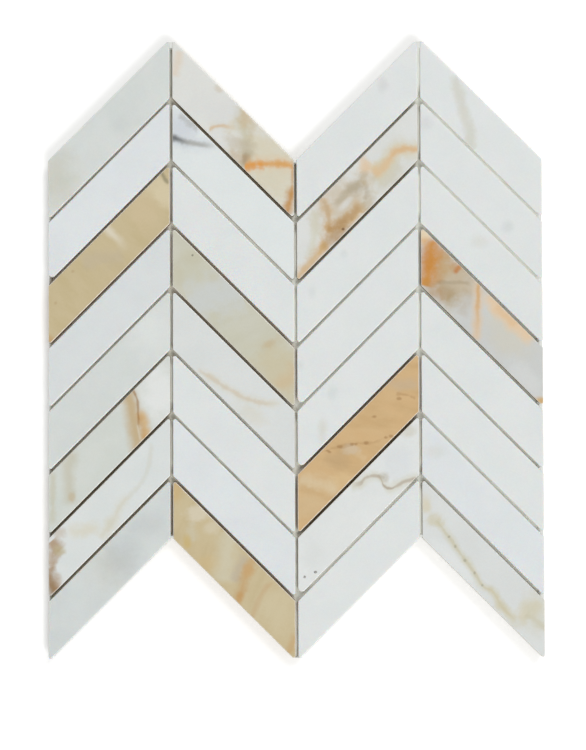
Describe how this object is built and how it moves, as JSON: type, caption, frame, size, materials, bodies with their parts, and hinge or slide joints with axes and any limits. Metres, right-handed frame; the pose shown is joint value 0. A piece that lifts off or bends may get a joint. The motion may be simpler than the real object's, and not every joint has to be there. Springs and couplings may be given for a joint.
{
  "type": "chevron mosaic wall tile",
  "caption": "Flat sheet of sawn marble parallelograms laid in zigzag chevron columns with open joints on a glass-fibre net, for cladding a wall.",
  "frame": {"origin": "middle of the sheet's outline, on the plane of the net's back", "axes": "+Z out of the polished faces, +Y towards the chevron points, +X across the columns"},
  "size_m": [0.247, 0.308, 0.0101],
  "materials": {
    "white_marble": "satin",
    "veined_marble": "satin",
    "honey_marble": "satin",
    "glass_fibre_net": "matte"
  },
  "bodies": {
    "root": {"backing_net": "glass_fibre_net", "marble_c1_r1": "white_marble", "marble_c1_r2": "white_marble", "marble_c1_r3": "honey_marble", "marble_c1_r4": "white_marble", "marble_c1_r5": "white_marble", "marble_c1_r6": "veined_marble", "marble_c1_r7": "veined_marble", "marble_c1_r8": "white_marble", "marble_c2_r1": "veined_marble", "marble_c2_r2": "veined_marble", "marble_c2_r3": "white_marble", "marble_c2_r4": "honey_marble", "marble_c2_r5": "veined_marble", "marble_c2_r6": "white_marble", "marble_c2_r7": "white_marble", "marble_c2_r8": "honey_marble", "marble_c3_r1": "white_marble", "marble_c3_r2": "veined_marble", "marble_c3_r3": "white_marble", "marble_c3_r4": "white_marble", "marble_c3_r5": "white_marble", "marble_c3_r6": "honey_marble", "marble_c3_r7": "veined_marble", "marble_c3_r8": "white_marble", "marble_c4_r1": "white_marble", "marble_c4_r2": "white_marble", "marble_c4_r3": "white_marble", "marble_c4_r4": "veined_marble", "marble_c4_r5": "white_marble", "marble_c4_r6": "white_marble", "marble_c4_r7": "white_marble", "marble_c4_r8": "veined_marble"}
  },
  "joints": []
}
